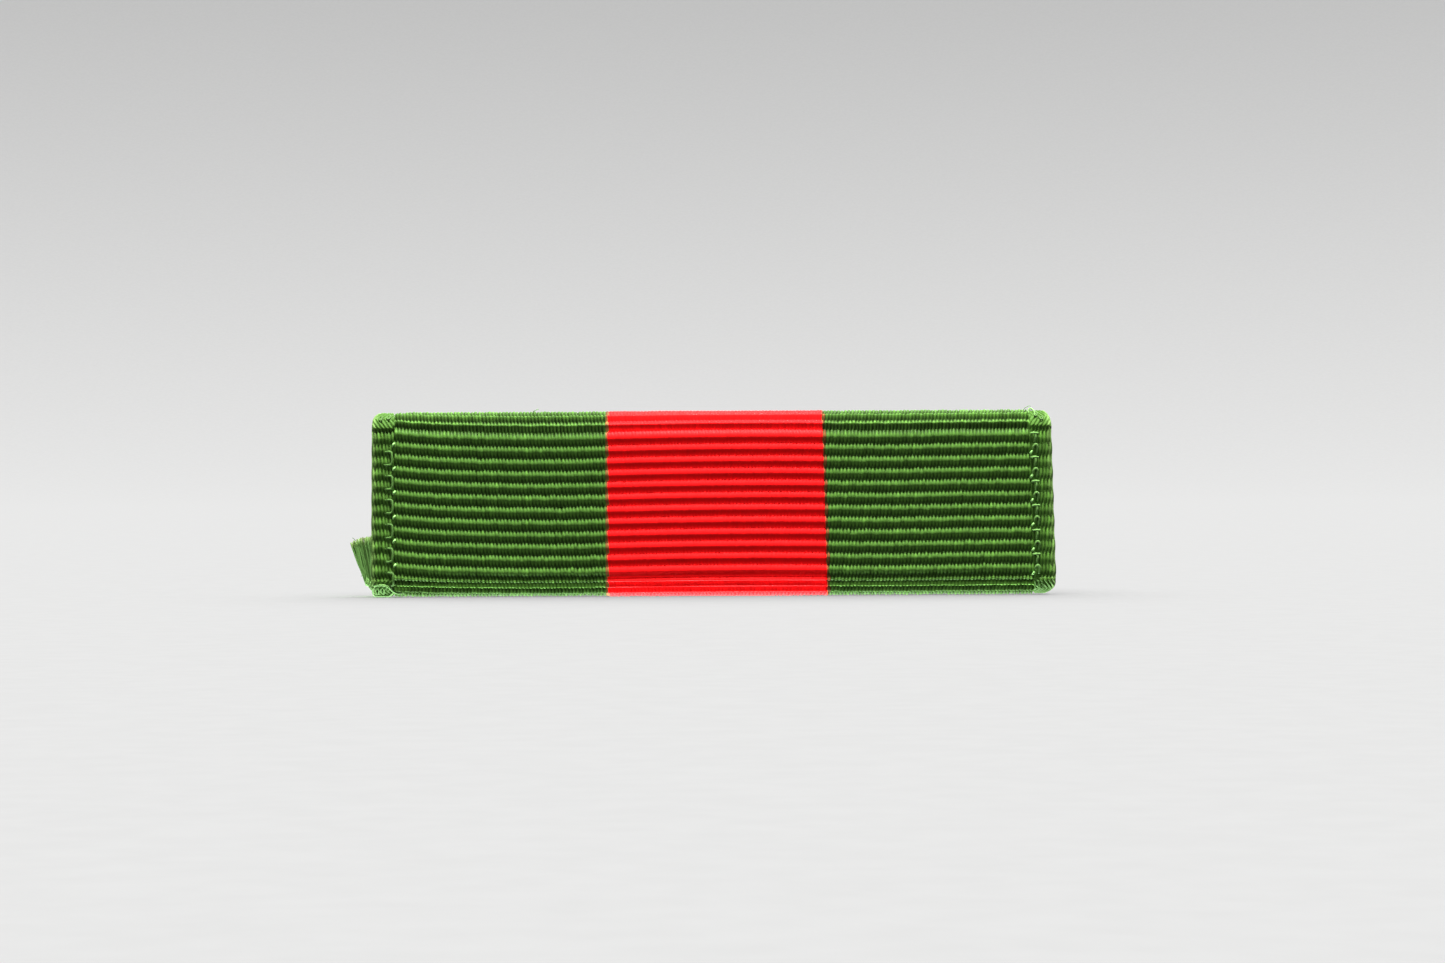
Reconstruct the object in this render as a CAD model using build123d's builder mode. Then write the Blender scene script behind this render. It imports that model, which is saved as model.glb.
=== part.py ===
"""Single ribbon bar: a medal ribbon wrapped on a brass slide, which runs on a mounting bar
held to a garment by two posts and two butterfly clutches.

Millimetres, upright as worn and seen from the front: +X to the right along the bar, +Z up, and
+Y back into the garment. The origin is the middle of the bar's rear land, which lies on the
garment.
"""

from build123d import *
import os

# ---- ribbon bar as a whole -------------------------------------------------------------
RIBBON_WIDTH = 34.93  # along X, selvedge to selvedge: 1 3/8 in
BAR_HEIGHT = 9.53  # along Z: 3/8 in
BAR_DEPTH = 2.30  # from the ribbon's face back to the garment
MID_Y = -BAR_DEPTH / 2  # middle of the bar's depth

# ---- cloth -----------------------------------------------------------------------------
CLOTH = 0.42  # ribbon thickness
CLOTH_GAP = 0.03  # between the ribbon and the slide inside it
TAIL_LENGTH = 3.00  # how far each tail reaches up or down the back
TAIL_SKEW = 1.07  # how far the lower tail's cut edge is shifted to -X
SKEW_FROM = 4.30  # depth below the middle where the skew begins
FRONT_CORNER = 0.55  # rounding of the ribbon's corners, seen from the front
LIP_EDGE = BAR_HEIGHT / 2 - TAIL_LENGTH  # height of the lips' and the tails' edges

# ---- slide -----------------------------------------------------------------------------
SLIDE_SHEET = 0.35
SLIDE_LENGTH = 34.50
SLIDE_HEIGHT = BAR_HEIGHT - 2 * (CLOTH + CLOTH_GAP)
SLIDE_DEPTH = BAR_DEPTH - 2 * (CLOTH + CLOTH_GAP)
LIP_LEAD_IN = 0.60  # cut off the corners of the lips

# ---- mounting bar ----------------------------------------------------------------------
RUNNING_GAP = 0.10  # between the slide's channel and the bar's flanges
BAR_LENGTH = 34.30
BAR_SHEET = SLIDE_DEPTH - 2 * SLIDE_SHEET - 2 * RUNNING_GAP
FLANGE_EDGE = 3.70  # height of the flanges' edges
FLANGE_ROUND = 0.20
FLANGE_LEAD_IN = 0.80
LAND_HALF = 1.50  # half height of the rear land
PRESSED_ROUND = 0.30

# ---- posts -----------------------------------------------------------------------------
SIDES = {"left": -1, "right": 1}  # which way along X each post and clutch lies
POST_SPACING = 19.05
POST_R = 0.55
SHANK_R = 0.75  # pressed into the bar's land
HEAD_R = 0.95
HEAD_T = 0.45
HEAD_ROUND = 0.15
GARMENT = 2.20  # thickness of garment between the bar and a clutch
NECK_R = 0.38  # groove that the jaws close over
NECK_FROM = GARMENT + 0.15
NECK_TO = GARMENT + 1.40
NECK_TAPER = 0.10
POINT_FROM = 5.80
POST_TIP = 7.00
TIP_R = 0.10

# ---- butterfly clutches; heights are above the clutch's own front plane ----------------
CLUTCH_TURN = {"left": 14.0, "right": -9.0}  # degrees that each is turned on its post
CLUTCH_SHEET = 0.25
DISC_R = 4.50
RIM_BEAD_R = 0.30
DISC_FROM = 0.10
RING_R = 3.45
RING_BEAD_R = 0.20
BOSS_R = 2.70
BOSS_TOP = 1.75
BOSS_ROUND = 0.22
WINDOW_U = 1.75  # half width of the boss's window, across the wings' folds
WINDOW_W = 1.55  # half width of the window, along the folds
WINDOW_ROUND = 0.30
SADDLE_SHEET = 0.20
SADDLE_FROM = 0.05
SADDLE_U = 1.95
SADDLE_W = 1.30
EAR_U = 1.15
EAR_W = WINDOW_W + SADDLE_SHEET
GUIDE_R = 0.70
FUNNEL = 0.12
WING_SHEET = 0.25
JAW_R = 0.62  # radius left clear round the post
JAW_HALF = 1.40
PAD_HALF = 2.30
SHOULDER_FROM = 1.95
SHOULDER_TO = 2.70
PAD_TOP = 5.60
PAD_ROUND = 0.80
# middle line of a wing's sheet: jaw edge, fold in the window, start of the flare, curl, tip
WING_LINE = [(0.26, 0.98), (1.55, 1.62), (1.74, 2.45), (3.98, 4.55), (4.20, 5.15)]
WING_BENDS = [0.30, 0.80, 0.30]

FRONT = Plane.XZ  # seen from the front, its normal points to the wearer's front
BACKWARD = (0, 1, 0)


def save(part, name):
    """Label a finished piece and write its STEP file."""
    part.label = name
    export_step(part, f"parts/{name}.step")


def channel_section(height, depth, sheet):
    """Round-edged channel, open at the back between the lips, for a sketch in the YZ plane."""
    with Locations((MID_Y, 0)):
        SlotOverall(height, depth, rotation=90)
        SlotOverall(height - 2 * sheet, depth - 2 * sheet, rotation=90, mode=Mode.SUBTRACT)
    with Locations((MID_Y + depth / 2, 0)):
        Rectangle(depth, 2 * LIP_EDGE, mode=Mode.SUBTRACT)


def skew_triangle(end):
    """Sliver that the lower tail's skew moves, at the ribbon's end x = end, for a front sketch."""
    Polygon((end, -SKEW_FROM), (end, -LIP_EDGE), (end - TAIL_SKEW, -LIP_EDGE), align=None)


def make_ribbon():
    """The cloth: its face, both wrapped edges and both tails, the lower one skewed to -X."""
    tail = FRONT.offset(CLOTH)
    with BuildPart() as ribbon:
        with BuildSketch(Plane.YZ):
            channel_section(BAR_HEIGHT, BAR_DEPTH, CLOTH)
        extrude(amount=RIBBON_WIDTH / 2, both=True)
        with BuildSketch(FRONT):
            RectangleRounded(RIBBON_WIDTH, BAR_HEIGHT, FRONT_CORNER)
        extrude(amount=BAR_DEPTH, both=True, mode=Mode.INTERSECT)
        with BuildSketch(tail):
            skew_triangle(RIBBON_WIDTH / 2)
        extrude(amount=-CLOTH, mode=Mode.SUBTRACT)
        with BuildSketch(tail):
            skew_triangle(-RIBBON_WIDTH / 2)
        extrude(amount=-CLOTH)
    return ribbon.part


def make_ribbon_slide():
    """The thin channel that the ribbon is wrapped on, with led-in lips."""
    with BuildPart() as slide:
        with BuildSketch(Plane.YZ):
            channel_section(SLIDE_HEIGHT, SLIDE_DEPTH, SLIDE_SHEET)
        extrude(amount=SLIDE_LENGTH / 2, both=True)
        across = slide.edges().filter_by(Axis.Y)
        chamfer(across.filter_by(lambda e: abs(e.center().Z) < LIP_EDGE + 0.01), LIP_LEAD_IN)
    return slide.part


def make_mounting_bar():
    """Pressed strip: a rear land that lies on the garment, and a flange on each side of it."""
    flange_front = MID_Y - BAR_SHEET / 2
    with BuildPart() as bar:
        with BuildSketch(Plane.YZ) as section:
            with Locations((flange_front, 0)):
                Rectangle(-flange_front, 2 * LAND_HALF, align=(Align.MIN, Align.CENTER))
                Rectangle(BAR_SHEET, 2 * FLANGE_EDGE, align=(Align.MIN, Align.CENTER))
                Rectangle(-flange_front - BAR_SHEET, 2 * (LAND_HALF - BAR_SHEET),
                          align=(Align.MIN, Align.CENTER), mode=Mode.SUBTRACT)
            edges = section.vertices().group_by(Axis.Y)
            fillet(edges[0] + edges[-1], FLANGE_ROUND)
            fillet(section.vertices().filter_by(lambda v: abs(v.X - flange_front) < 0.01
                                                and abs(v.Y) < LAND_HALF), PRESSED_ROUND)
        extrude(amount=BAR_LENGTH / 2, both=True)
        with BuildSketch(FRONT):
            with GridLocations(POST_SPACING, 0, 2, 1):
                Circle(SHANK_R)
        extrude(amount=BAR_DEPTH, mode=Mode.SUBTRACT)
        with BuildSketch(FRONT.offset(BAR_DEPTH)):
            with Locations(*[(x * BAR_LENGTH / 2, z * FLANGE_EDGE) for x in (-1, 1) for z in (-1, 1)]):
                Rectangle(FLANGE_LEAD_IN, FLANGE_LEAD_IN, rotation=45)
        extrude(amount=-BAR_DEPTH, mode=Mode.SUBTRACT)
    return bar.part


def make_post(side):
    """Headed post with a groove for the jaws and a sharp point, turned about its own axis."""
    x = side * POST_SPACING / 2
    land_front = -BAR_SHEET
    with BuildPart() as post:
        with BuildSketch(Plane.XY.shift_origin((x, 0, 0))):
            with BuildLine():
                Polyline(
                    (0, land_front - HEAD_T),
                    (HEAD_R, land_front - HEAD_T),
                    (HEAD_R, land_front),
                    (SHANK_R, land_front),
                    (SHANK_R, 0),
                    (POST_R, 0),
                    (POST_R, NECK_FROM),
                    (NECK_R, NECK_FROM + NECK_TAPER),
                    (NECK_R, NECK_TO - NECK_TAPER),
                    (POST_R, NECK_TO),
                    (POST_R, POINT_FROM),
                    (TIP_R, POST_TIP),
                    (0, POST_TIP),
                    close=True,
                )
            make_face()
        revolve(axis=Axis((x, 0, 0), BACKWARD))
        fillet(post.edges().group_by(Axis.Y)[0], HEAD_ROUND)
    return post.part


class ClutchFrame:
    """Planes and axes of one clutch: u runs across its folds, w along them, height backward."""

    def __init__(self, side_name):
        turn = CLUTCH_TURN[side_name]
        centre = Vector(SIDES[side_name] * POST_SPACING / 2, GARMENT, 0)
        self.u = Vector(1, 0, 0).rotate(Axis.Y, turn)
        self.w = Vector(0, 0, 1).rotate(Axis.Y, turn)
        self.seen_along_w = Plane(centre, x_dir=self.u, z_dir=self.w)
        self.seen_along_u = Plane(centre, x_dir=self.w, z_dir=-self.u)
        self.floor = Plane(centre, x_dir=self.u, z_dir=BACKWARD)
        self.axis = Axis(centre, BACKWARD)


def make_clutch_base(clutch):
    """Disc with a rolled rim and a raised boss, whose window lets the wings through."""
    with BuildPart() as base:
        with BuildSketch(clutch.seen_along_w):
            with Locations((0, BOSS_TOP)):
                Rectangle(BOSS_R, CLUTCH_SHEET, align=(Align.MIN, Align.MAX))
            with Locations((BOSS_R, DISC_FROM)):
                Rectangle(CLUTCH_SHEET, BOSS_TOP - DISC_FROM, align=(Align.MAX, Align.MIN))
                Rectangle(DISC_R - RIM_BEAD_R - BOSS_R, CLUTCH_SHEET, align=Align.MIN)
            with Locations((RING_R, DISC_FROM + CLUTCH_SHEET)):
                Circle(RING_BEAD_R)
            with Locations((DISC_R - RIM_BEAD_R, RIM_BEAD_R)):
                Circle(RIM_BEAD_R)
        revolve(axis=clutch.axis)
        fillet(base.edges().filter_by(GeomType.CIRCLE).group_by(Axis.Y)[-1], BOSS_ROUND)
        with BuildSketch(clutch.floor):
            RectangleRounded(2 * WINDOW_U, 2 * WINDOW_W, WINDOW_ROUND)
        extrude(amount=BOSS_TOP, mode=Mode.SUBTRACT)
    return base.part


def make_clutch_saddle(clutch):
    """Floor of the spring stamping, with the post's guide hole and two ears up to the boss."""
    with BuildPart() as saddle:
        with BuildSketch(clutch.floor.offset(SADDLE_FROM)):
            Rectangle(2 * SADDLE_U, 2 * SADDLE_W)
            Rectangle(2 * EAR_U, 2 * EAR_W)
        extrude(amount=SADDLE_SHEET)
        with BuildSketch(clutch.floor.offset(SADDLE_FROM)):
            with GridLocations(0, 2 * EAR_W - SADDLE_SHEET, 1, 2):
                Rectangle(2 * EAR_U, SADDLE_SHEET)
        extrude(amount=BOSS_TOP - CLUTCH_SHEET - SADDLE_FROM)
        with BuildSketch(clutch.floor):
            Circle(GUIDE_R)
        extrude(amount=BOSS_TOP, mode=Mode.SUBTRACT)
        guide = saddle.edges().filter_by(GeomType.CIRCLE).group_by(Axis.Y)[0]
        chamfer(guide, FUNNEL)
    return saddle.part


def make_clutch_wing(clutch, way):
    """One sprung side: a jaw at the post, a fold in the window and a flared finger pad."""
    with BuildPart() as wing:
        with BuildSketch(clutch.seen_along_w):
            with BuildLine():
                line = FilletPolyline(*[(way * u, h) for u, h in WING_LINE], radius=WING_BENDS)
                offset(line, amount=WING_SHEET / 2, side=Side.BOTH)
            make_face()
        extrude(amount=PAD_HALF, both=True)
        with BuildSketch(clutch.seen_along_u) as outline:
            with BuildLine():
                Polyline(
                    (-JAW_HALF, 0),
                    (JAW_HALF, 0),
                    (JAW_HALF, SHOULDER_FROM),
                    (PAD_HALF, SHOULDER_TO),
                    (PAD_HALF, PAD_TOP),
                    (-PAD_HALF, PAD_TOP),
                    (-PAD_HALF, SHOULDER_TO),
                    (-JAW_HALF, SHOULDER_FROM),
                    close=True,
                )
            make_face()
            fillet(outline.vertices().group_by(Axis.Y)[-1], PAD_ROUND)
        extrude(amount=DISC_R + PAD_HALF, both=True, mode=Mode.INTERSECT)
        with BuildSketch(clutch.floor):
            Circle(JAW_R)
        extrude(amount=BOSS_TOP + 1, mode=Mode.SUBTRACT)
    return wing.part


def main():
    os.makedirs("parts", exist_ok=True)
    save(make_ribbon(), "ribbon")
    save(make_ribbon_slide(), "ribbon_slide")
    save(make_mounting_bar(), "mounting_bar")
    for name, side in SIDES.items():
        clutch = ClutchFrame(name)
        save(make_post(side), f"{name}_post")
        save(make_clutch_base(clutch), f"{name}_clutch_base")
        save(make_clutch_saddle(clutch), f"{name}_clutch_saddle")
        save(make_clutch_wing(clutch, side), f"{name}_clutch_outer_wing")
        save(make_clutch_wing(clutch, -side), f"{name}_clutch_inner_wing")


main()
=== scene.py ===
"""Looks of the ribbon bar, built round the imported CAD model. Lengths in the code are millimetres
in the part's frame (X right and Z up from the middle of the bar, Y back from the garment face)
until a mesh is made, then metres.

Order: measures, small helpers, materials, the woven ribbon, its loose threads, the metal parts,
the stage with its lights and the camera.
"""

import bpy
import math
import numpy as np
from mathutils import Euler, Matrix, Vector


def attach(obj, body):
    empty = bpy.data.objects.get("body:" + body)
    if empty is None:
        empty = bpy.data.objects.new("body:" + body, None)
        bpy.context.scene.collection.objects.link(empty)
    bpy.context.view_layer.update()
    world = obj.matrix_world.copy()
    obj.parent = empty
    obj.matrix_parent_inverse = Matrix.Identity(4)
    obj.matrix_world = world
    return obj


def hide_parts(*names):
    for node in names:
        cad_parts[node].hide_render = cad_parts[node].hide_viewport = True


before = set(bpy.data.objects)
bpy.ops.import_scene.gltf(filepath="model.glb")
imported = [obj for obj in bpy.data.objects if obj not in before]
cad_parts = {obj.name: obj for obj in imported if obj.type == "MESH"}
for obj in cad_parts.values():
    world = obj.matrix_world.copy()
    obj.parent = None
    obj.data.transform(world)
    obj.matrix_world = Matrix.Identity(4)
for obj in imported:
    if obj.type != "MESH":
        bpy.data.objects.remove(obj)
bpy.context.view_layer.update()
MM = 0.001
rng = np.random.default_rng(20)

# ---- measures of the wrapped ribbon, the same as the CAD model's ---------------------------
WIDTH = 34.93
HALF_WIDTH = WIDTH / 2
HEIGHT = 9.53
DEPTH = 2.30
CLOTH = 0.42
TAIL_EDGE = 1.765  # height of the tails' cut edges
TAIL_SKEW = 1.07  # how far left the lower tail's cut edge lies
SKEW_FROM = 4.30  # below the middle, where that skew begins
WRAP_R = DEPTH / 2
BEND_Z = HEIGHT / 2 - WRAP_R  # height where a wrapped edge begins
TAIL_RUN = BEND_Z - TAIL_EDGE
WRAP_RUN = math.pi * WRAP_R
FRONT_RUN = 2 * BEND_Z
FRONT_FROM = TAIL_RUN + WRAP_RUN  # along the ribbon, from its upper cut edge
FRONT_TO = FRONT_FROM + FRONT_RUN
RUN = 2 * (TAIL_RUN + WRAP_RUN) + FRONT_RUN  # its whole length

# ---- weave -----------------------------------------------------------------------------
RIB = 0.621  # from one rib to the next
FLOAT = 0.179  # from one float to the next along a rib
FIRST_RIB = 5.695 - 9 * RIB  # from the upper cut edge
RIB_RISE = 0.190  # of a rib above the groove
FLOAT_RISE = 0.070  # of a float's middle above its sides
REACH = 0.63  # half length of a float along its middle, in ribs
REACH_LOST = 0.20  # less at its sides, so that floats end round
SELVEDGE = 1.155
BODY_EDGE = HALF_WIDTH - SELVEDGE
EDGE_R = 0.21  # rounding of the cloth's two long edges
ARC_HALF = HALF_WIDTH - EDGE_R + EDGE_R * math.pi / 2  # half the width, measured round them
RED_FROM = -5.46
RED_TO = 5.72
RED_BLEND = 0.1  # half the width over which the red stripe's weave takes over
LEFT_RISE, RIGHT_RISE = 0.85, 0.62  # share of a rib's rise in each selvedge
SELVEDGE_SWELL = 2.1  # share of a float's rise there
GROOVE = 0.12  # share of a rib's rise at the bottom of a groove
GAP_SHADE = 0.55  # painted shade: how much darker it is between two floats
EDGE_LIGHT_WIDTH = 0.22  # width of the painted light on the outermost threads at both edges
ROWS = 416  # quads of the outer face along the ribbon
COLUMNS = 1168  # and across it
COARSE = 4  # outer quads per inner one
THREAD_SIDES = 6
BUMP_DEPTH = 0.00001  # metres


# ---- helpers -----------------------------------------------------------------------------
def make_object(name, points, loops, starts, body, material):
    """Mesh object from arrays of points in mm, loop corners and loop starts, riding on a body."""
    mesh = bpy.data.meshes.new(name)
    mesh.vertices.add(len(points))
    mesh.vertices.foreach_set("co", (points * MM).astype(np.float32).ravel())
    mesh.loops.add(len(loops))
    mesh.loops.foreach_set("vertex_index", loops.astype(np.int32))
    mesh.polygons.add(len(starts))
    mesh.polygons.foreach_set("loop_start", starts.astype(np.int32))
    mesh.update(calc_edges=True)
    mesh.polygons.foreach_set("use_smooth", np.full(len(starts), True))
    mesh.materials.append(material)
    obj = bpy.data.objects.new(name, mesh)
    bpy.context.scene.collection.objects.link(obj)
    if body:
        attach(obj, body)
    return obj


def point_values(obj, name, values):
    """Store one number per vertex for the materials to read."""
    stored = obj.data.attributes.new(name, "FLOAT", "POINT")
    stored.data.foreach_set("value", values.astype(np.float32).ravel())


def smooth_step(x, low, high):
    """0 below low, 1 above high, and smooth between."""
    t = np.clip((x - low) / (high - low), 0, 1)
    return t * t * (3 - 2 * t)


def tubes(paths, radii):
    """One mesh of round threads. paths are arrays of points, radii one number or array each.

    Besides points, loops and starts it gives, per point, its place from 0 to 1 along its thread
    and the number of that thread.
    """
    points, loops, starts, along, which = [], [], [], [], []
    sides = THREAD_SIDES
    base = 0
    angles = np.arange(sides) * 2 * math.pi / sides
    for index, (path, radius) in enumerate(zip(paths, radii)):
        path = np.asarray(path, float)
        count = len(path)
        radius = np.broadcast_to(radius, count)
        tangent = np.gradient(path, axis=0)
        tangent /= np.linalg.norm(tangent, axis=1)[:, None] + 1e-12
        helper = np.where(np.abs(tangent[:, 1:2]) < 0.9, [[0.0, 1.0, 0.0]], [[1.0, 0.0, 0.0]])
        first = np.cross(tangent, helper)
        first /= np.linalg.norm(first, axis=1)[:, None]
        second = np.cross(tangent, first)
        ring = (
            path[:, None, :]
            + radius[:, None, None] * np.cos(angles)[None, :, None] * first[:, None, :]
            + radius[:, None, None] * np.sin(angles)[None, :, None] * second[:, None, :]
        )
        points.append(ring.reshape(-1, 3))
        points.append(path[[0, -1]])
        along.append(np.append(np.repeat(np.linspace(0, 1, count), sides), [0, 1]))
        which.append(np.full(count * sides + 2, index))
        i = np.arange(count - 1)[:, None] * sides + base
        j = np.arange(sides)[None, :]
        k = (j + 1) % sides
        quads = np.stack([i + j, i + sides + j, i + sides + k, i + k], axis=-1).reshape(-1, 4)
        near = base + count * sides
        far = near + 1
        last = base + (count - 1) * sides
        caps = np.concatenate([
            np.stack([np.full(sides, near), base + j[0], base + k[0]], axis=-1),
            np.stack([np.full(sides, far), last + k[0], last + j[0]], axis=-1),
        ])
        begin = sum(map(len, loops))
        loops.append(quads.ravel())
        starts.append(begin + 4 * np.arange(len(quads)))
        loops.append(caps.ravel())
        starts.append(begin + 4 * len(quads) + 3 * np.arange(len(caps)))
        base += count * sides + 2
    return (np.concatenate(points), np.concatenate(loops), np.concatenate(starts),
            np.concatenate(along), np.concatenate(which))


# ---- material helpers ------------------------------------------------------------------
def new_material(name):
    material = bpy.data.materials.new(name)
    material.use_nodes = True
    nodes = material.node_tree.nodes
    nodes.clear()
    output = nodes.new("ShaderNodeOutputMaterial")
    shader = nodes.new("ShaderNodeBsdfPrincipled")
    material.node_tree.links.new(shader.outputs["BSDF"], output.inputs["Surface"])
    return material, material.node_tree, shader


def node(tree, kind, **settings):
    made = tree.nodes.new(kind)
    for key, value in settings.items():
        setattr(made, key, value)
    return made


def link(tree, source, target):
    tree.links.new(source, target)


def attribute(tree, name, output="Fac"):
    return node(tree, "ShaderNodeAttribute", attribute_name=name).outputs[output]


def ramp(tree, source, stops, interpolation="LINEAR"):
    """Colour ramp on a number, stops being (position, grey or colour) pairs."""
    made = node(tree, "ShaderNodeValToRGB")
    made.color_ramp.interpolation = interpolation
    elements = made.color_ramp.elements
    while len(elements) < len(stops):
        elements.new(0.5)
    for element, (position, colour) in zip(elements, stops):
        element.position = position
        if isinstance(colour, (int, float)):
            colour = (colour,) * 3
        element.color = (*colour, 1)
    link(tree, source, made.inputs["Fac"])
    return made.outputs["Color"]


def maths(tree, operation, *values):
    """Math node; each value is a number or a socket."""
    made = node(tree, "ShaderNodeMath", operation=operation)
    for socket, value in zip(made.inputs, values):
        if isinstance(value, (int, float)):
            socket.default_value = value
        else:
            link(tree, value, socket)
    return made.outputs["Value"]


def scaled(tree, *parts):
    """Vector whose parts are sockets times a number, given as (socket, number) pairs."""
    made = node(tree, "ShaderNodeCombineXYZ")
    for target, (source, factor) in zip(made.inputs, parts):
        link(tree, maths(tree, "MULTIPLY", source, factor), target)
    return made.outputs["Vector"]


def noise(tree, place, scale, **settings):
    made = node(tree, "ShaderNodeTexNoise")
    made.inputs["Scale"].default_value = scale
    for key, value in settings.items():
        made.inputs[key].default_value = value
    link(tree, place, made.inputs["Vector"])
    return made.outputs["Fac"]


def object_place(tree):
    return node(tree, "ShaderNodeTexCoord").outputs["Object"]


def mix_colour(tree, blend, factor, a, b):
    """Colour of a blended with b; each is a colour or a socket."""
    made = node(tree, "ShaderNodeMix", data_type="RGBA", blend_type=blend)
    for socket, value in ((made.inputs[0], factor), (made.inputs[6], a), (made.inputs[7], b)):
        if isinstance(value, (int, float)):
            socket.default_value = value
        elif isinstance(value, tuple):
            socket.default_value = (*value, 1)
        else:
            link(tree, value, socket)
    return made.outputs[2]


def bump(tree, shader, height, strength):
    made = node(tree, "ShaderNodeBump")
    made.inputs["Strength"].default_value = strength
    made.inputs["Distance"].default_value = BUMP_DEPTH
    link(tree, height, made.inputs["Height"])
    link(tree, made.outputs["Normal"], shader.inputs["Normal"])


GREEN = (0.064, 0.160, 0.022)
RED = (0.93, 0.0034, 0.0044)
BORDER = (0.18, 0.078, 0.021)  # where green and red threads share a float
BORDER_HALF = 0.018


def stripe_colour(tree, name):
    """Place across the ribbon from 0 to 1, and the dye there, from an attribute in mm."""
    place = maths(tree, "MULTIPLY_ADD", attribute(tree, name), 1 / WIDTH, 0.5)
    left = RED_FROM / WIDTH + 0.5
    right = RED_TO / WIDTH + 0.5
    half = BORDER_HALF / WIDTH
    return place, ramp(tree, place, [
        (0.0, GREEN),
        (left - half, BORDER),
        (left + half, RED),
        (right - half, BORDER),
        (right + half, GREEN),
    ], "CONSTANT")


def cloth_material():
    """Corded ribbon: dyed stripes, toned by the weave and given its painted shade, light and
    highlights, with fine silky filaments.
    """
    material, tree, shader = new_material("ribbon_cloth")
    place, dye = stripe_colour(tree, "thread")
    strand = attribute(tree, "strand")
    along = attribute(tree, "along")
    across = attribute(tree, "across")
    # tone ramp: random tone of the threads; its upper stops also turn the painted light on the
    # wrapped edges and the painted highlight of one rib (tone 1, times 3.3) into colour
    tone = ramp(tree, strand, [(0.0, 0.78), (0.4, 1.0), (0.72, 1.1), (0.9, 1.5), (1.0, 3.3)])
    patch = noise(tree, scaled(tree, (across, 0.35), (along, 0.9)), 1.0, Detail=3.0)
    wear = ramp(tree, patch, [(0.3, 0.93), (0.7, 1.05)])
    # painted light: the outermost threads at both edges are painted paler, where light wraps round
    # the rounded edge
    strip = EDGE_LIGHT_WIDTH / WIDTH
    edge_light = (2.0, 1.55, 2.5)
    painted_edge_light = ramp(tree, place, [
        (0.0, edge_light),
        (strip, edge_light),
        (strip + 0.001, 1.0),
        (0.999 - strip, 1.0),
        (1.0 - strip, edge_light),
    ])
    colour = dye
    for factor in (attribute(tree, "shade", "Vector"), tone, wear, painted_edge_light):
        colour = mix_colour(tree, "MULTIPLY", 1.0, colour, factor)
    link(tree, colour, shader.inputs["Base Color"])
    fine = scaled(tree, (across, 34.0), (along, 3.2), (strand, 9.0))
    filament = noise(tree, fine, 1.0, Detail=2.0)
    bump(tree, shader, filament, 0.55)
    link(tree, ramp(tree, filament, [(0.3, 0.42), (0.7, 0.62)]), shader.inputs["Roughness"])
    shader.inputs["Specular IOR Level"].default_value = 0.09
    return material


def thread_material():
    """Loose threads and cut ends: the ribbon's dye, paler by their tone, brown at frayed tips."""
    material, tree, shader = new_material("loose_thread")
    dye = stripe_colour(tree, "across")[1]
    strand = attribute(tree, "strand")
    bleached = ramp(tree, strand, [(0.0, 0.10), (0.75, 0.28), (1.0, 0.85)])
    pale = mix_colour(tree, "MIX", bleached, dye, (0.31, 0.62, 0.20))
    tone = ramp(tree, strand, [(0.0, 0.65), (0.5, 1.20), (1.0, 1.7)])
    colour = mix_colour(tree, "MULTIPLY", 1.0, pale, tone)
    frayed = ramp(tree, attribute(tree, "tip"), [(0.84, 0.0), (1.0, 0.35)])
    colour = mix_colour(tree, "MIX", frayed, colour, (0.20, 0.15, 0.06))
    link(tree, colour, shader.inputs["Base Color"])
    grain = noise(tree, object_place(tree), 22000.0)
    bump(tree, shader, grain, 0.3)
    link(tree, ramp(tree, grain, [(0.3, 0.45), (0.7, 0.65)]), shader.inputs["Roughness"])
    shader.inputs["Specular IOR Level"].default_value = 0.15
    return material


def metal_material(name, clean, tarnish, rough, brush, amount):
    """Plated metal with drawn lines along one axis, patches of tarnish and fine scratches.

    clean and tarnish are colours, rough the mean roughness, brush the scale of the lines along
    each axis, and amount how much of the tarnish shows.
    """
    material, tree, shader = new_material(name)
    shader.inputs["Metallic"].default_value = 1.0
    spot = object_place(tree)
    stretch = node(tree, "ShaderNodeMapping")
    stretch.inputs["Scale"].default_value = brush
    link(tree, spot, stretch.inputs["Vector"])
    lines = noise(tree, stretch.outputs["Vector"], 1.0, Detail=4.0)
    cloud = noise(tree, spot, 420.0, Detail=6.0, Roughness=0.62)
    stain = ramp(tree, cloud, [(0.42, 0.0), (0.72, amount)])
    colour = mix_colour(tree, "MIX", stain, clean, tarnish)
    streak = ramp(tree, lines, [(0.3, 0.9), (0.7, 1.04)])
    link(tree, mix_colour(tree, "MULTIPLY", 1.0, colour, streak), shader.inputs["Base Color"])
    by_lines, by_cloud = 0.16, 0.30
    least = rough - (by_lines + by_cloud) / 2
    lined = maths(tree, "MULTIPLY_ADD", lines, by_lines, least)
    link(tree, maths(tree, "MULTIPLY_ADD", cloud, by_cloud, lined), shader.inputs["Roughness"])
    bump(tree, shader, lines, 0.22)
    return material


CLOTH_LOOK = cloth_material()
THREAD_LOOK = thread_material()


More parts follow.
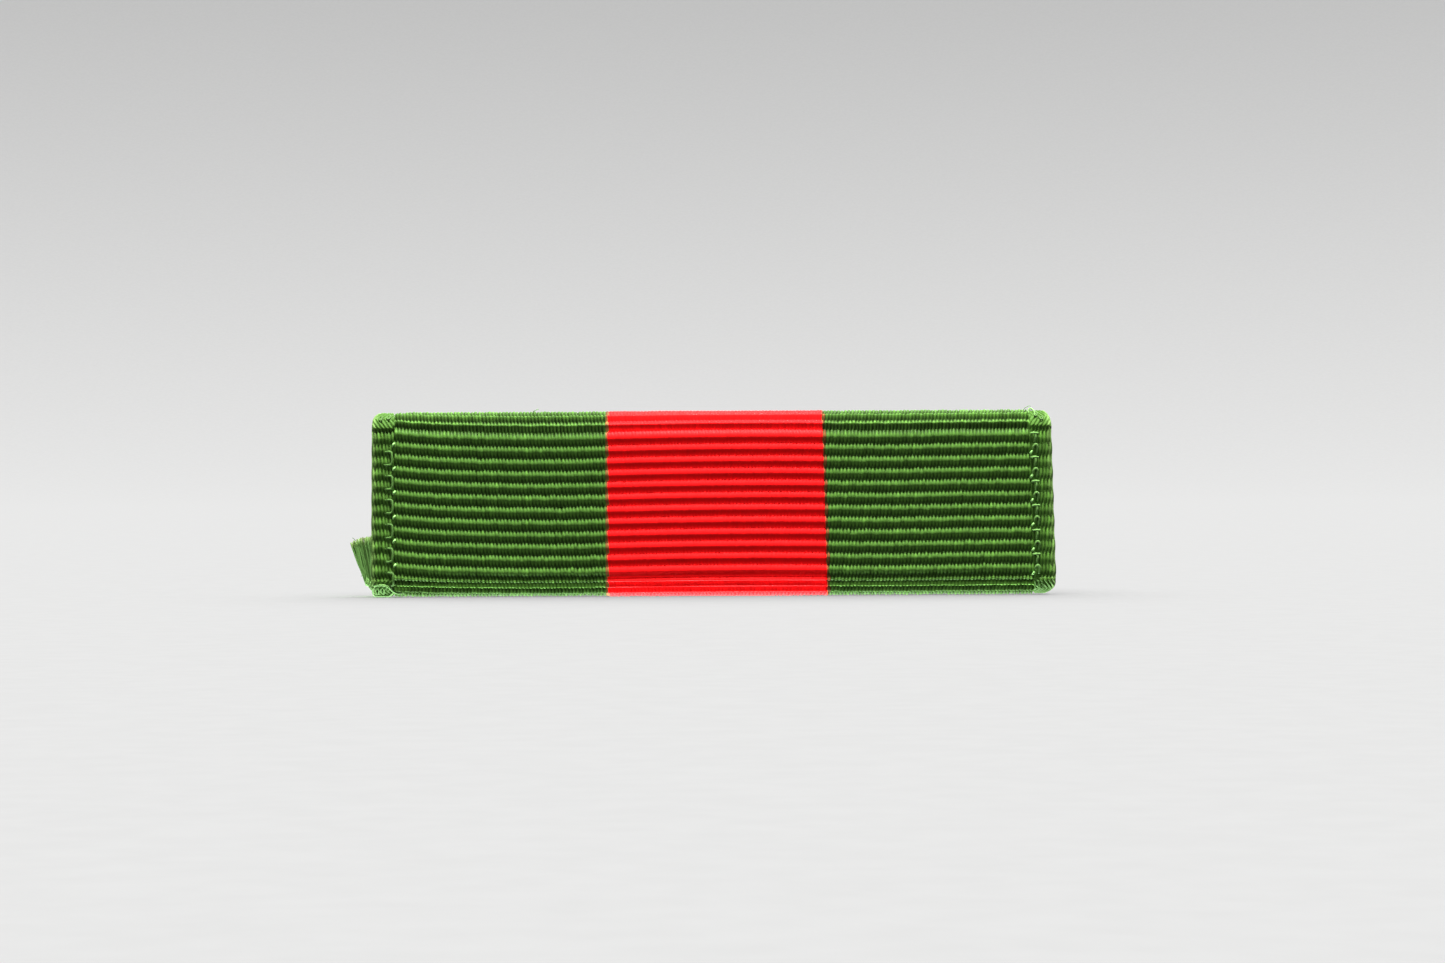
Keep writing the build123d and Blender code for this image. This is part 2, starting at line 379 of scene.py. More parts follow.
# ---- the woven ribbon ------------------------------------------------------------------
def wrap_path(s):
    """Point (y, z) and outward direction of the ribbon's outer face, s mm from the upper cut."""
    s = np.clip(s, 0, RUN)
    y = np.zeros_like(s)
    z = TAIL_EDGE + s
    out_y = np.ones_like(s)
    out_z = np.zeros_like(s)
    bends = (TAIL_RUN, BEND_Z, 0.0), (FRONT_TO, -BEND_Z, math.pi)
    for begin, middle, start in bends:
        turn = start + (s - begin) / WRAP_R
        here = (s >= begin) & (s < begin + WRAP_RUN)
        y = np.where(here, -WRAP_R + WRAP_R * np.cos(turn), y)
        z = np.where(here, middle + WRAP_R * np.sin(turn), z)
        out_y = np.where(here, np.cos(turn), out_y)
        out_z = np.where(here, np.sin(turn), out_z)
    front = (s >= FRONT_FROM) & (s < FRONT_TO)
    y = np.where(front, -DEPTH, y)
    z = np.where(front, BEND_Z - (s - FRONT_FROM), z)
    out_y = np.where(front, -1.0, out_y)
    out_z = np.where(front, 0.0, out_z)
    lower = s >= FRONT_TO + WRAP_RUN
    z = np.where(lower, -BEND_Z + s - FRONT_TO - WRAP_RUN, z)
    return y, z, out_y, out_z


def rib_bow(x):
    """How far down the front the ribs lie at x, from straight lines; they bow a little."""
    d = x + BODY_EDGE
    bow = -0.27 * np.exp(-np.clip(d, 0, None) / 1.9)  # raised at the left selvedge
    bow += 0.10 * np.exp(-(((d - 8) / 5) ** 2)) + 0.065 * np.exp(-(((d - 25) / 3.5) ** 2))
    bow -= 0.045 * smooth_step(x, -15, 4)
    return np.where(x < -BODY_EDGE, bow * 0.1, bow) + np.where(x > BODY_EDGE, 0.12, 0.0)


def rib_crowding(s):
    """How far the ribs are pushed back along the ribbon where it turns over its two edges."""
    over_top = FRONT_FROM - s
    under_bottom = s - FRONT_TO
    return 0.11 * smooth_step(over_top, -0.1, 0.45) + 0.52 * smooth_step(under_bottom, 0.0, 1.1)


RIB_COUNT = 32
RIB_SHIFT = rng.normal(0, 0.006, RIB_COUNT)
FLOAT_COUNT = 210  # along each rib
FLOAT_LIFT = rng.normal(0, 0.006, (RIB_COUNT, FLOAT_COUNT))
FLOAT_SLIP = rng.normal(0, 0.013, (RIB_COUNT, FLOAT_COUNT))
FLOAT_TONE = rng.random((RIB_COUNT, FLOAT_COUNT))
THREAD_TONE = rng.random((2, FLOAT_COUNT))
THREAD_SLIP = rng.normal(0, 0.006, (2, FLOAT_COUNT))


def braid(s, x):
    """Share and height of the lumpy chevrons where the selvedges turn over the wrapped edges."""
    share = np.zeros(s.shape)
    height = np.zeros(s.shape)
    v = np.abs(x) - BODY_EDGE
    for middle in (FRONT_FROM - 0.92, FRONT_TO + 0.95):
        w = s - middle
        here = smooth_step(-np.abs(w), -0.72, -0.58) * smooth_step(v, -0.02, 0.08)
        chevron = np.abs(np.sin(math.pi * (v / 0.21 + np.abs(w) / 0.33)))
        share = np.maximum(share, here)
        height = np.where(here > 0, chevron, height)
    return share, height


# painted shade and highlight by crown, from a groove at 0 to the top of a rib at 1
GREEN_FACE_SHADE_AND_HIGHLIGHT = (0, 0.52, 0.76, 0.88, 1), (0.74, 0.70, 1.42, 1.26, 0.84)
GREEN_EDGE_SHADE_AND_HIGHLIGHT = (0, 0.5, 1), (0.46, 0.90, 1.18)
# painted light: the red grooves are painted brighter than the tops of the ribs, up to 3.2 times
RED_FACE_GROOVE_LIGHT = (0, 0.4, 0.75, 1), (3.2, 2.0, 1.12, 1.0)
# painted shade: the red on the tails behind is dimmed, most in the grooves
RED_TAIL_SHADE = (0, 0.6, 1), (0.40, 0.62, 0.80)


def weave(s, x):
    """Height above the grooves, shade, tone and thread at s along, x across.

    shade multiplies the dye: painted shade, darker where threads dive into a groove and between
    floats, and painted highlight on the upper flanks; in the red stripe, painted light that
    brightens the grooves. tone, from 0 to 1, is how bright this float is: a random tone, with
    painted light on the wrapped edges and a painted highlight on one rib under the lower edge.
    thread is the place across where the float takes its dye from.
    The red stripe is more even than the green: each 1 - n * red takes irregularity away there.
    """
    left = x < -BODY_EDGE
    right = x > BODY_EDGE
    edge = left | right
    red = smooth_step(x, RED_FROM - RED_BLEND, RED_FROM + RED_BLEND)
    red = red * smooth_step(-x, -RED_TO - RED_BLEND, -RED_TO + RED_BLEND)
    upper = s < RUN / 2
    past_front = np.abs(s - RUN / 2) - FRONT_RUN / 2
    bend = smooth_step(past_front, -0.1, 0.35)
    bend = bend * smooth_step(-past_front, -WRAP_RUN - 0.3, -WRAP_RUN + 0.3)
    rise = RIB_RISE * np.where(left, LEFT_RISE, np.where(right, RIGHT_RISE, 1.0))
    swell = np.where(edge, SELVEDGE_SWELL, 1 - 0.75 * red) * FLOAT_RISE
    longest = np.where(left, REACH + 0.05, np.where(right, REACH + 0.15, REACH))
    slope = 0.30 - 0.55 * smooth_step(x, -8, 8)  # of the floats, sideways per rib
    down = s - rib_bow(x) + rib_crowding(s)

    # the highest float at each point: k is its rib, j its number along the rib, t and off are
    # how far from its middle the point lies, in ribs along it and in floats across it
    best = np.full(s.shape, -1.0)
    tone = np.zeros(s.shape)
    thread = np.zeros(s.shape)
    side = np.zeros(s.shape)
    for family in (0, 1):
        k = 2 * np.round((down - FIRST_RIB) / (2 * RIB) - family / 2).astype(int) + family
        k = np.clip(k, 0, RIB_COUNT - 1)
        t = (down - FIRST_RIB - k * RIB - RIB_SHIFT[k] * (1 - 0.6 * red)) / RIB
        place = x / FLOAT - family / 2 - slope * t
        j = np.clip(np.round(place).astype(int) + FLOAT_COUNT // 2, 0, FLOAT_COUNT - 1)
        off = place + FLOAT_COUNT // 2 - j + THREAD_SLIP[family, j] / FLOAT
        t = t - FLOAT_SLIP[k, j] * (1 - 0.75 * red) / RIB
        reach = longest - REACH_LOST * (1 - 0.7 * red) * (2 * off) ** 2
        over = np.clip(1 - (np.abs(t) / reach) ** (1.6 - 0.5 * bend), 0, 1)
        round_top = np.sqrt(np.clip(1 - (1.84 * off) ** 2, 0.02, 1))
        height = rise * over + swell * (round_top - 1) + FLOAT_LIFT[k, j] * over * (1 - 0.8 * red)
        win = height > best
        best = np.where(win, height, best)
        tone = np.where(win, 0.6 * FLOAT_TONE[k, j] + 0.4 * THREAD_TONE[family, j], tone)
        side = np.where(win, np.abs(off), side)
        thread = np.where(win, 0.5 * x + 0.5 * FLOAT * (j - FLOAT_COUNT // 2 + family / 2), thread)

    # grooves open and deepen where the ribbon bends, and the selvedges turn into a braid there
    floor = rise * GROOVE - swell
    deeper = 1 + 0.5 * bend
    best = rise - (rise - np.maximum(best, floor)) * deeper
    floor = rise - (rise - floor) * deeper
    share, chevron = braid(s, x)
    best = best * (1 - share) + share * (0.45 * RIB_RISE + 0.095 * chevron)
    floor = floor * (1 - share) + share * 0.15 * RIB_RISE
    # painted light: threads are toned brighter over the wrapped edges, by up to 0.30
    tone = 0.5 + (tone - 0.5) * np.where(edge, 1.5, 1 - 0.65 * red) + 0.30 * bend
    tone = tone * (1 - share) + share * (0.30 + 0.30 * tone)

    # painted shade and highlight by crown, sharper where the ribbon bends
    crown = np.clip((best - floor) / (rise - floor), 0, 1)
    tight = crown ** (1 + np.where(upper, 2.2, 0.6) * bend * (1 - share))
    face_shade_and_highlight = np.interp(crown, *GREEN_FACE_SHADE_AND_HIGHLIGHT)
    edge_shade_and_highlight = np.interp(tight, *GREEN_EDGE_SHADE_AND_HIGHLIGHT)
    green = np.where(edge, edge_shade_and_highlight, face_shade_and_highlight * (1 - bend) + edge_shade_and_highlight * bend)
    # painted shade between floats, in the grooves as well as on the crests
    gap_shade = crown * np.clip(2 * side, 0, 1) ** 2 + (1 - crown) * np.clip(4 * side, 0, 1) ** 2
    green = green * (1 - GAP_SHADE * gap_shade * (1 - share))
    # painted shade: on the tails behind, the red takes the dimmer tail shade
    behind = smooth_step(past_front, 1.6, 2.6)
    # red front: painted light in the grooves, painted shade over the top wrapped edge and painted
    # light under the bottom one
    red_face_light_and_shade = np.interp(crown, *RED_FACE_GROOVE_LIGHT)
    over_top = 1 - 0.4 * smooth_step(past_front, 0.5, 1.4)
    under_bottom = 1 + 0.7 * smooth_step(past_front, 0.25, 0.8)
    red_face_light_and_shade = red_face_light_and_shade * np.where(upper, over_top, under_bottom)
    red_tail_shade = np.interp(crown, *RED_TAIL_SHADE)
    shade = green * (1 - red) + red * (red_face_light_and_shade * (1 - behind) + red_tail_shade * behind)
    shade = shade * (1 - 0.15 * share)

    # painted highlight: one rib is painted bright where the lower edge turns under: its tone goes
    # up to 1
    painted_highlight_rib = smooth_step(s - FRONT_TO, 0.45, 0.62) * (1 - smooth_step(s - FRONT_TO, 0.85, 1.05))
    painted_highlight_rib = painted_highlight_rib * (1 - 0.8 * red) * (1 - share)
    tone = 0.9 * np.clip(tone, 0, 1) * (1 - painted_highlight_rib) + painted_highlight_rib
    return best, shade, tone, thread


def corner_pull(x, z):
    """How far the selvedge is drawn in at the ribbon's corners."""
    pull = np.zeros_like(x)
    for side, way, radius in ((-1, 1, 0.34), (1, 1, 0.40), (-1, -1, 0.05), (1, -1, 0.60)):
        into = np.clip(way * z - (HEIGHT / 2 - radius), 0, radius)
        bite = radius - np.sqrt(radius**2 - into**2)
        near = smooth_step(side * x, HALF_WIDTH - 1.1, HALF_WIDTH)
        pull = pull + side * bite * near
    return pull


def ribbon_points(s, arc, inner):
    """Place in mm of points s along and arc across the ribbon, on its outer or inner face,
    with their shade, tone and thread.
    """
    x = np.clip(arc, -HALF_WIDTH, HALF_WIDTH)
    height, shade, tone, thread = weave(s, x)
    turn = np.clip((np.abs(arc) - (HALF_WIDTH - EDGE_R)) / EDGE_R, 0, math.pi / 2)
    rim = np.clip(turn / (math.pi / 2), 0, 1)
    relief = RIB_RISE - height
    relief = relief * (1 - rim) + rim * 0.06
    if inner:
        inset = CLOTH - 0.35 * relief
        inset = inset - (EDGE_R - 0.02) * (1 - np.cos(turn))
    else:
        inset = relief + (EDGE_R - 0.06) * (1 - np.cos(turn))
    flat = np.abs(arc) <= HALF_WIDTH - EDGE_R
    across = np.where(flat, arc, np.sign(arc) * (HALF_WIDTH - EDGE_R + EDGE_R * np.sin(turn)))
    y, z, out_y, out_z = wrap_path(s)
    right_spread = (0.05 - 0.26 * z / HEIGHT) * np.clip(x / 6, 0, 1)
    left_spread = 0.09 * z / HEIGHT * np.clip(-x / 17, 0, 1) ** 2
    spread = np.where(x > 0, right_spread, left_spread)
    lower_tail = smooth_step(s, RUN - TAIL_RUN - 0.7, RUN - TAIL_RUN)
    skew = lower_tail * np.clip((z + SKEW_FROM) / (SKEW_FROM - TAIL_EDGE), 0, 1) * TAIL_SKEW
    loose = smooth_step(-across, HALF_WIDTH - 1.6, HALF_WIDTH) * smooth_step(z, -4.4, -3.2)
    loose = lower_tail * loose  # its left corner is drawn back, where threads have come out
    scallop = np.where(x > BODY_EDGE, 0.019, np.where(x < -BODY_EDGE, -0.008, 0.0))
    scallop = scallop * np.cos(math.pi * (s - FIRST_RIB) / RIB)
    px = across + scallop + spread * (1 - lower_tail) - corner_pull(across, z)
    px = px - skew + 0.75 * loose
    py = y - out_y * inset
    pz = z - out_z * inset
    return np.stack([px, py, pz], axis=-1), shade, tone, thread


def grid_faces(rows, columns, first, flip):
    """Corner indices of the quads of a grid of rows x columns points, numbered from first."""
    i = np.arange(rows - 1)[:, None] * columns + first
    j = np.arange(columns - 1)[None, :]
    a = i + j
    quad = [a, a + columns, a + columns + 1, a + 1]
    if flip:
        quad = quad[::-1]
    return np.stack(quad, axis=-1).reshape(-1, 4)


def zip_edges(fine, coarse, flip):
    """Triangles that join a fine row of points to a row with COARSE times fewer steps."""
    half = COARSE // 2
    faces = []
    for n in range(len(coarse) - 1):
        a, b = coarse[n], coarse[n + 1]
        f = fine[n * COARSE:(n + 1) * COARSE + 1]
        faces += [(a, f[m], f[m + 1]) for m in range(half)]
        faces.append((a, f[half], b))
        faces += [(b, f[m], f[m + 1]) for m in range(half, COARSE)]
    faces = np.array(faces)
    return faces[:, ::-1] if flip else faces


def make_ribbon():
    """The ribbon as one closed sheet, with the relief of its ribs and of each float."""
    s_fine = np.linspace(0, RUN, ROWS + 1)
    arc_fine = np.linspace(-ARC_HALF, ARC_HALF, COLUMNS + 1)
    s_coarse, arc_coarse = s_fine[::COARSE], arc_fine[::COARSE]
    outer_s, outer_arc = np.meshgrid(s_fine, arc_fine, indexing="ij")
    inner_s, inner_arc = np.meshgrid(s_coarse, arc_coarse, indexing="ij")
    outer, shade, tone, thread = ribbon_points(outer_s, outer_arc, False)
    inner, inner_shade, inner_tone, inner_thread = ribbon_points(inner_s, inner_arc, True)
    rows, columns = outer_s.shape
    few_rows, few_columns = inner_s.shape
    count = rows * columns
    number = np.arange(count).reshape(rows, columns)
    inner_number = count + np.arange(few_rows * few_columns).reshape(few_rows, few_columns)
    quads = np.concatenate([
        grid_faces(rows, columns, 0, False),
        grid_faces(few_rows, few_columns, count, True),
    ])
    triangles = np.concatenate([
        zip_edges(number[0], inner_number[0], False),
        zip_edges(number[-1], inner_number[-1], True),
        zip_edges(number[:, 0], inner_number[:, 0], True),
        zip_edges(number[:, -1], inner_number[:, -1], False),
    ])
    loops = np.concatenate([quads.ravel(), triangles.ravel()])
    starts = np.concatenate([
        4 * np.arange(len(quads)),
        4 * len(quads) + 3 * np.arange(len(triangles)),
    ])
    points = np.concatenate([outer.reshape(-1, 3), inner.reshape(-1, 3)])
    ribbon = make_object("woven_ribbon", points, loops, starts, "ribbon_unit", CLOTH_LOOK)
    point_values(ribbon, "shade", np.append(shade.ravel(), inner_shade.ravel()))
    point_values(ribbon, "strand", np.append(tone.ravel(), inner_tone.ravel()))
    point_values(ribbon, "along", np.append(outer_s.ravel(), inner_s.ravel()))
    point_values(ribbon, "across", np.append(outer_arc.ravel(), inner_arc.ravel()))
    point_values(ribbon, "thread", np.append(thread.ravel(), inner_thread.ravel()))
    layer = ribbon.data.uv_layers.new(name="OFBake")
    u = np.append(outer_arc.ravel(), inner_arc.ravel()) / (2 * ARC_HALF) * 0.98 + 0.5
    v = np.append(outer_s.ravel() / RUN * 0.485 + 0.005, 0.99 - inner_s.ravel() / RUN * 0.485)
    layer.data.foreach_set("uv", np.stack([u[loops], v[loops]], axis=-1).astype(np.float32).ravel())
    return ribbon


ribbon = make_ribbon()
ribbon.visible_diffuse = False
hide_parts("ribbon")


# ---- loose threads -----------------------------------------------------------------------
def thread_path(corners):
    """Smooth path through a few corners, by a Catmull-Rom spline."""
    corners = np.asarray(corners, float)
    before = 2 * corners[:1] - corners[1:2]
    after = 2 * corners[-1:] - corners[-2:-1]
    padded = np.concatenate([before, corners, after])
    path = []
    for n in range(len(corners) - 1):
        a, b, c, d = padded[n:n + 4]
        for t in (0.0, 0.2, 0.4, 0.6, 0.8):
            path.append(0.5 * (2 * b + (c - a) * t + (2 * a - 5 * b + 4 * c - d) * t**2
                               + (3 * b - a - 3 * c + d) * t**3))
    path.append(corners[-1])
    return np.array(path)


def make_threads(name, paths, radii, tones=None, with_tips=True):
    """Loose threads of the ribbon's own yarn as one piece; a tone of 1 is bleached nearly white."""
    points, loops, starts, along, which = tubes(paths, radii)
    threads = make_object(name, points, loops, starts, "ribbon_unit", THREAD_LOOK)
    if tones is None:
        tones = 0.8 * rng.random(len(paths))
    point_values(threads, "strand", np.array(tones)[which])
    point_values(threads, "across", points[:, 0])
    point_values(threads, "tip", along if with_tips else np.zeros(len(along)))
    return threads


TUFT_LAYERS = (-0.50, -0.40, -0.28, -0.15, -0.03)
TUFT_THREADS = 20  # in each layer
TUFT_LOOPS = 9


def make_tuft():
    """Corner of the lower tail that shows past the left selvedge, its threads fanned out."""
    paths, radii = [], []
    for layer_y in TUFT_LAYERS:
        for n in range(TUFT_THREADS):
            f = (n + rng.random()) / TUFT_THREADS
            foot = np.array([-17.92 + 0.78 * f, layer_y, -4.20 - 0.22 * f + 0.10 * rng.random()])
            top_z = -1.96 + 0.32 * math.sin(min(1.0, f * 2.2) * 1.4) - 0.10 * rng.random()
            if rng.random() < 0.12:
                top_z -= 0.25 * rng.random()
            top = np.array([-18.74 + 1.80 * f, layer_y + rng.normal(0, 0.03), top_z])
            t = np.linspace(0, 1, 11)[:, None]
            path = foot * (1 - t) + top * t
            sway = np.sin(math.pi * t[:, 0])
            path[:, 0] += (0.10 * f - 0.05) * sway + rng.normal(0, 0.035) * t[:, 0] ** 2
            path[:, 0] += 0.022 * np.sin((6 + 3 * rng.random()) * t[:, 0] + 6 * rng.random())
            path[:, 1] += 0.02 * np.sin(5 * t[:, 0] + 6 * rng.random())
            if layer_y == TUFT_LAYERS[0]:  # kept off the pieces in front of it
                foremost = layer_y + 0.12 * smooth_step(path[:, 0], -17.5, -17.2)
                path[:, 1] = np.maximum(path[:, 1], foremost)
            paths.append(path)
            radii.append((0.040 + 0.020 * rng.random()) * (1 - 0.45 * t[:, 0] ** 3))
    for n in range(TUFT_LOOPS):
        x = -17.95 + 0.07 * n + rng.normal(0, 0.02)
        z = -3.95 - 0.05 * n + rng.normal(0, 0.04)
        paths.append(thread_path([
            (x, -0.42, z + 0.30),
            (x + 0.07, -0.60, z + 0.12),
            (x + 0.02, -0.68, z - 0.06),
            (x + 0.12, -0.55, z - 0.22),
        ]))
        radii.append(0.034)
    tones = 0.02 + 0.80 * rng.random(len(TUFT_LAYERS) * TUFT_THREADS)
    tones = np.append(tones, np.full(TUFT_LOOPS, 0.75))
    return make_threads("tail_corner_threads", paths, radii, tones)


def make_cut_ends():
    """Short thread ends along the cut edges of both tails."""
    paths, radii = [], []
    for edge_s, way in ((0.0, -1), (RUN, 1)):
        for x in np.arange(-HALF_WIDTH + 0.1, HALF_WIDTH - 0.05, FLOAT / 2):
            inset = 0.08 + 0.26 * rng.random()
            start = ribbon_points(np.array([[edge_s]]), np.array([[x]]), False)[0][0, 0]
            start[1] = -inset
            start[2] -= 0.12 * way
            length = 0.16 + 0.14 * rng.random() ** 2
            t = np.linspace(0, 1, 5)[:, None]
            lean = rng.normal(0, 0.05)
            path = start + t * np.array([lean, rng.normal(0, 0.03), length * way])
            paths.append(path)
            radii.append((0.036 + 0.01 * rng.random()) * (1 - 0.5 * t[:, 0] ** 2))
    return make_threads("cut_ends", paths, radii)


def front_point(x, z, lift):
    """Point at x and height z on the face or a wrapped edge, lifted off the ribs' tops by lift."""
    past = abs(z) - BEND_Z
    if past <= 0:
        return [x, -DEPTH - lift, z]
    turn = math.asin(min(past / WRAP_R, 1))
    reach = WRAP_R + lift
    return [x, -WRAP_R - reach * math.cos(turn), math.copysign(BEND_Z + reach * math.sin(turn), z)]


def make_catch_threads():
    """The thread that binds each selvedge to the body: loops and knots on every second rib, and
    small loops at the corners.
    """
    paths, radii, tones = [], [], []

    def lay(radius, tone, x, z, *steps):
        """Lay a thread through steps from x and z, each step with its lift off the ribs."""
        paths.append(thread_path([front_point(x + dx, z + dz, lift) for dx, dz, lift in steps]))
        radii.append(radius)
        tones.append(tone)

    knots = 6  # along each selvedge
    for n in range(knots):
        z = 3.10 - 2 * RIB * n + rng.normal(0, 0.02)
        x = -BODY_EDGE + rng.normal(0, 0.012)
        lay(0.056, 0.86, x, z, (0.07, 0.07, -0.10), (0.02, 0.0, 0.01), (-0.03, -0.09, -0.08))
        lay(0.060, 0.24, x, z - RIB - 0.13, (-0.46, 0.37, -0.12), (-0.20, 0.38, -0.05),
            (-0.09, 0.33, -0.03), (-0.06, 0.16, -0.01), (-0.06, -0.10, -0.01),
            (-0.10, -0.25, -0.03), (-0.22, -0.30, -0.05), (-0.46, -0.30, -0.12))
    for n in range(knots):
        z = 3.50 - 2 * RIB * n + rng.normal(0, 0.02)
        x = BODY_EDGE + 0.10 - 0.014 * z + rng.normal(0, 0.012)
        lay(0.060, 0.52, x, z, (-0.03, -0.01, -0.04), (0.14, 0.02, 0.02), (0.36, 0.0, -0.05))
        lay(0.070, 0.30, x, z, (0.20, 0.0, -0.02), (0.22, -0.2, 0.01), (0.18, -0.44, -0.06))
        lay(0.064, 0.30, x, z, (0.10, -0.80, -0.02), (0.12, -0.66, 0.02), (0.22, -0.56, 0.02),
            (0.32, -0.68, 0.0), (0.28, -1.0, -0.08))
        lay(0.056, 0.84, x, z, (0.06, -0.90, -0.06), (0.0, -0.97, 0.01), (-0.05, -1.05, -0.08))
    lay(0.052, 0.62, 0.0, 0.0, (-17.40, -4.18, -0.06), (-16.95, -4.12, 0.0), (-16.62, -4.20, 0.02),
        (-16.40, -4.42, 0.02), (-16.20, -4.55, 0.0), (-15.80, -4.58, -0.04))
    lay(0.056, 0.56, 0.0, 0.0, (-17.42, -4.30, -0.10), (-17.42, -4.66, -0.05),
        (-17.20, -4.70, -0.02), (-16.90, -4.68, 0.0), (-16.62, -4.66, 0.02),
        (-16.40, -4.52, 0.0), (-16.28, -4.46, -0.06))
    corner_loops = (
        (-17.22, -4.42, 0.60), (-16.94, -4.42, 0.60),
        (-17.02, 4.44, 0.06), (-16.62, 4.50, 0.10),
        (16.60, 4.52, 0.06), (16.88, 4.34, 0.06),
        (16.62, -4.16, 0.35), (16.86, -4.30, 0.20),
    )
    for x, z, tone in corner_loops:
        lay(0.044, tone, x, z, (-0.08, 0.10, -0.06), (-0.03, -0.10, 0.01), (0.07, -0.12, 0.02),
            (0.10, 0.06, -0.02), (0.02, 0.13, -0.06))
    lay(0.040, 0.60, 0.0, 0.0, (16.30, 4.60, -0.10), (16.30, 4.70, 0.04), (16.42, 4.73, 0.06),
        (16.56, 4.62, 0.03), (16.60, 4.40, -0.05))
    return make_threads("catch_threads", paths, radii, tones, with_tips=False)


def make_stray_fibres():
    """A few hairs that stand off the ribbon's top edge and its frayed corner."""
    paths, radii = [], []
    for start, end, bulge in (
        ((16.05, -1.2, 4.70), (16.42, -1.3, 4.90), 0.10),
        ((-9.2, -1.3, 4.72), (-8.9, -1.4, 4.86), 0.05),
        ((-18.20, -0.5, -2.2), (-18.62, -0.6, -1.72), 0.06),
        ((-17.85, -0.5, -3.6), (-18.16, -0.7, -3.72), 0.05),
    ):
        t = np.linspace(0, 1, 12)[:, None]
        path = np.array(start) * (1 - t) + np.array(end) * t
        path[:, 2] += bulge * np.sin(math.pi * t[:, 0]) + 0.02 * np.sin(9 * t[:, 0])
        paths.append(path)
        radii.append(0.014)
    return make_threads("stray_fibres", paths, radii, with_tips=False)


LOOSE = [make_tuft(), make_cut_ends(), make_catch_threads(), make_stray_fibres()]


# ---- metal parts -------------------------------------------------------------------------
BRASS = (0.80, 0.58, 0.27)
DULL_BRASS = (0.62, 0.44, 0.19)
DISC_BRASS = (0.83, 0.62, 0.30)
SPRING_BRASS = (0.80, 0.60, 0.30)
DARK_BRASS = (0.36, 0.22, 0.08)
NICKEL = (0.62, 0.61, 0.58)
DARK_NICKEL = (0.30, 0.26, 0.20)
LOOKS = [  # by a word in the node's name, the last for all the others
    ("slide", metal_material("slide_metal", BRASS, DARK_BRASS, 0.38, (300, 9000, 9000), 0.5)),
    ("bar", metal_material("bar_metal", DULL_BRASS, DARK_BRASS, 0.36, (260, 9000, 9000), 0.55)),
    ("post", metal_material("post_metal", NICKEL, DARK_NICKEL, 0.30, (9000, 500, 9000), 0.35)),
    ("base", metal_material("clutch_metal", DISC_BRASS, DARK_BRASS, 0.33, (2400,) * 3, 0.45)),
    ("", metal_material("spring_metal", SPRING_BRASS, DARK_BRASS, 0.35, (7000, 700, 700), 0.4)),
]
for name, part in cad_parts.items():
    if name == "ribbon":
        continue
    part.data.materials.clear()
    part.data.materials.append(next(look for word, look in LOOKS if word in name))
    part.visible_diffuse = False


# ---- stage, lights and camera --------------------------------------------------------------
def make_stage():
    """Pale floor under the bar that curves up into a backdrop all round, far from it."""
    floor_r, curve_r, wall_top = 0.80, 0.80, 1.60  # metres
    profile = [(r, 0.0) for r in np.linspace(0.0, floor_r, 7)]
    profile += [(floor_r + curve_r * math.sin(a), curve_r - curve_r * math.cos(a))
                for a in np.linspace(0, math.pi / 2, 28)[1:]]
    profile.append((floor_r + curve_r, wall_top))
    steps = 96
    points = []
    for radius, rise in profile:
        for n in range(steps):
            a = 2 * math.pi * n / steps
            points.append((radius * math.cos(a) / MM, radius * math.sin(a) / MM,
                           rise / MM - HEIGHT / 2))
    faces = []
    for i in range(len(profile) - 1):
        for n in range(steps):
            m = (n + 1) % steps
            faces.append((i * steps + n, i * steps + m, (i + 1) * steps + m, (i + 1) * steps + n))
    faces = np.array(faces)
    material, tree, shader = new_material("stage_paper")
    grain = noise(tree, object_place(tree), 900.0)
    paper = ramp(tree, grain, [(0.3, (0.79, 0.79, 0.785)), (0.7, (0.81, 0.81, 0.805))])
    link(tree, paper, shader.inputs["Base Color"])
    shader.inputs["Roughness"].default_value = 0.9
    shader.inputs["Specular IOR Level"].default_value = 0.0
    starts = 4 * np.arange(len(faces))
    stage = make_object("stage", np.array(points), faces.ravel(), starts, None, material)
    stage.visible_diffuse = False
    stage.visible_shadow = False
    return stage


def linked(name, stage, state):
    """Collection that limits a light to the stage, or keeps it off the stage."""
    group = bpy.data.collections.new(name)
    group.objects.link(stage)
    group.collection_objects[0].light_linking.link_state = state
    return group


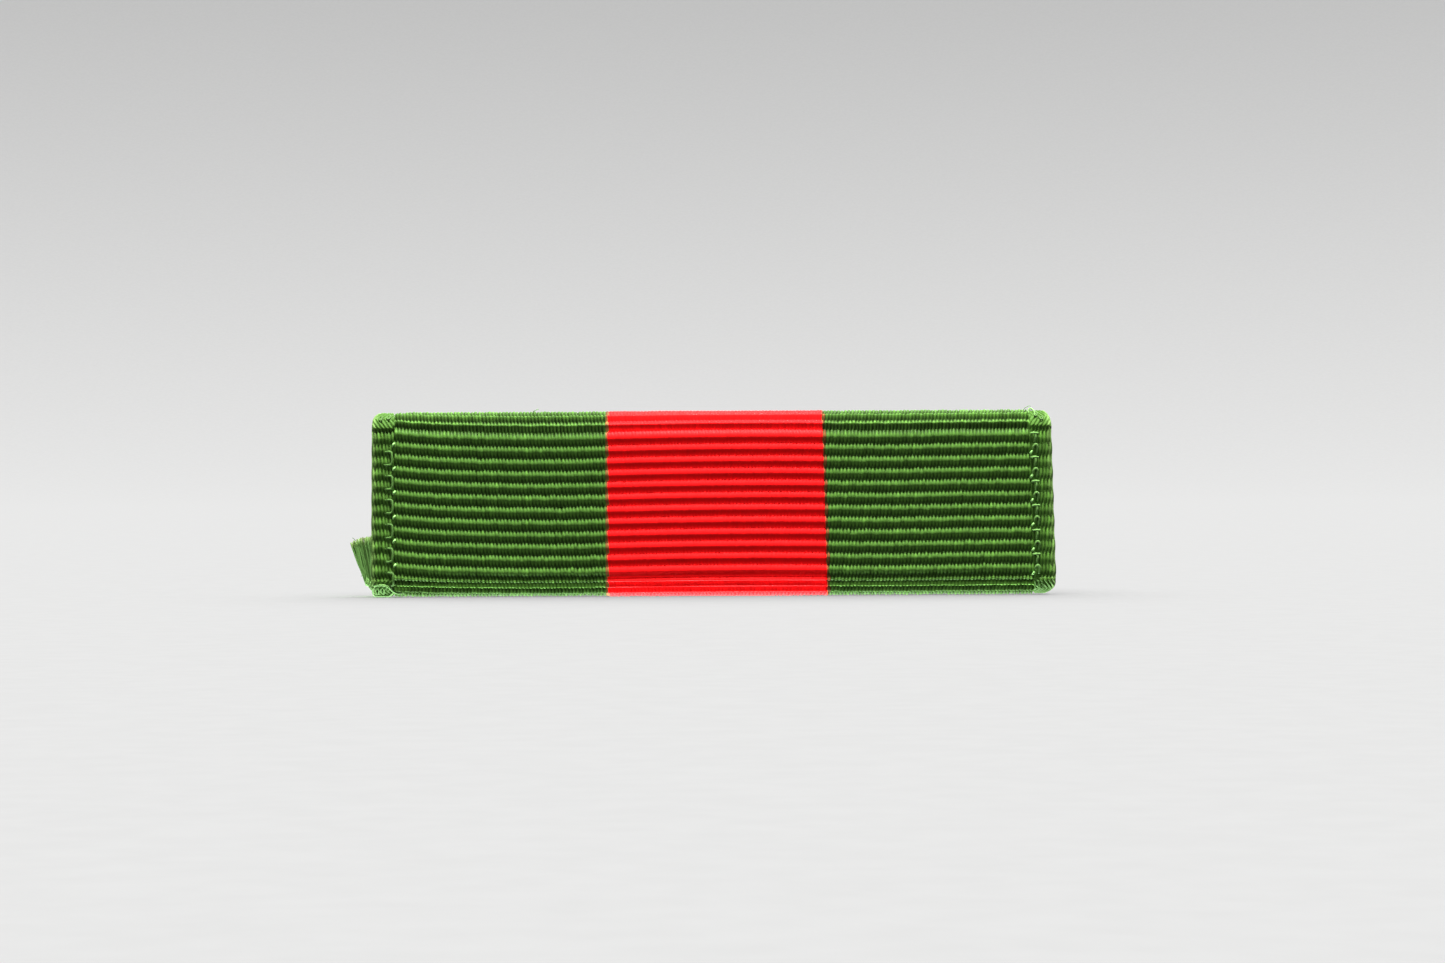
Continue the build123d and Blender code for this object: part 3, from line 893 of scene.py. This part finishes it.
def add_light(name, place, size, power, colour, receivers):
    """Rectangular soft light at place in metres, facing the bar."""
    light = bpy.data.lights.new(name, "AREA")
    light.shape = "RECTANGLE"
    light.size, light.size_y = size
    light.energy = power
    light.color = colour
    lamp = bpy.data.objects.new(name, light)
    lamp.location = place
    lamp.rotation_euler = (-Vector(place)).to_track_quat("-Z", "Y").to_euler()
    lamp.light_linking.receiver_collection = receivers
    bpy.context.scene.collection.objects.link(lamp)


stage = make_stage()
off_stage = linked("off_stage", stage, "EXCLUDE")
add_light("key", (0.03, -0.087, 0.41), (0.30, 0.04), 6.9, (1.0, 0.985, 0.96), off_stage)
add_light("crown", (-0.04, 0.09, 0.40), (0.30, 0.10), 2.0, (1.0, 0.99, 0.97), off_stage)
add_light("fill", (-0.10, -0.60, 0.05), (0.50, 0.40), 1.2, (0.96, 0.98, 1.0), off_stage)
add_light("under", (-0.05, 0.07, -0.30), (0.20, 0.10), 4.2, (0.90, 0.96, 1.0), off_stage)
add_light("back", (0.20, 0.46, 0.22), (0.40, 0.30), 4.0, (1.0, 0.99, 0.97), off_stage)
overhead = bpy.data.lights.new("overhead", "SUN")
overhead.energy = 3.1
overhead.angle = math.radians(110)
overhead_lamp = bpy.data.objects.new("overhead", overhead)
overhead_lamp.rotation_euler = (math.radians(-8), 0, 0)
overhead_lamp.light_linking.receiver_collection = linked("stage_only", stage, "INCLUDE")
bpy.context.scene.collection.objects.link(overhead_lamp)

world = bpy.data.worlds.new("studio")
world.use_nodes = True
background = world.node_tree.nodes["Background"]
background.inputs["Color"].default_value = (0.86, 0.88, 0.90, 1)
background.inputs["Strength"].default_value = 0.05
bpy.context.scene.world = world
bpy.context.scene.view_settings.view_transform = "Standard"

LENS = 85.0
SENSOR = 36.0
FRAME_WIDTH = 74.0  # of the view at the ribbon's face
distance = FRAME_WIDTH * LENS / SENSOR
camera_data = bpy.data.cameras.new("camera")
camera_data.lens = LENS
camera_data.clip_start = 0.01
camera_data.clip_end = 20
camera = bpy.data.objects.new("camera", camera_data)
camera.location = (0.54 * MM, -(distance + DEPTH) * MM, 1.11 * MM)
tilt = math.radians(0.27)  # as in the photo
camera.rotation_euler = Euler((math.pi / 2, tilt, 0), "YXZ")
bpy.context.scene.collection.objects.link(camera)
bpy.context.scene.camera = camera

bpy.context.view_layer.update()
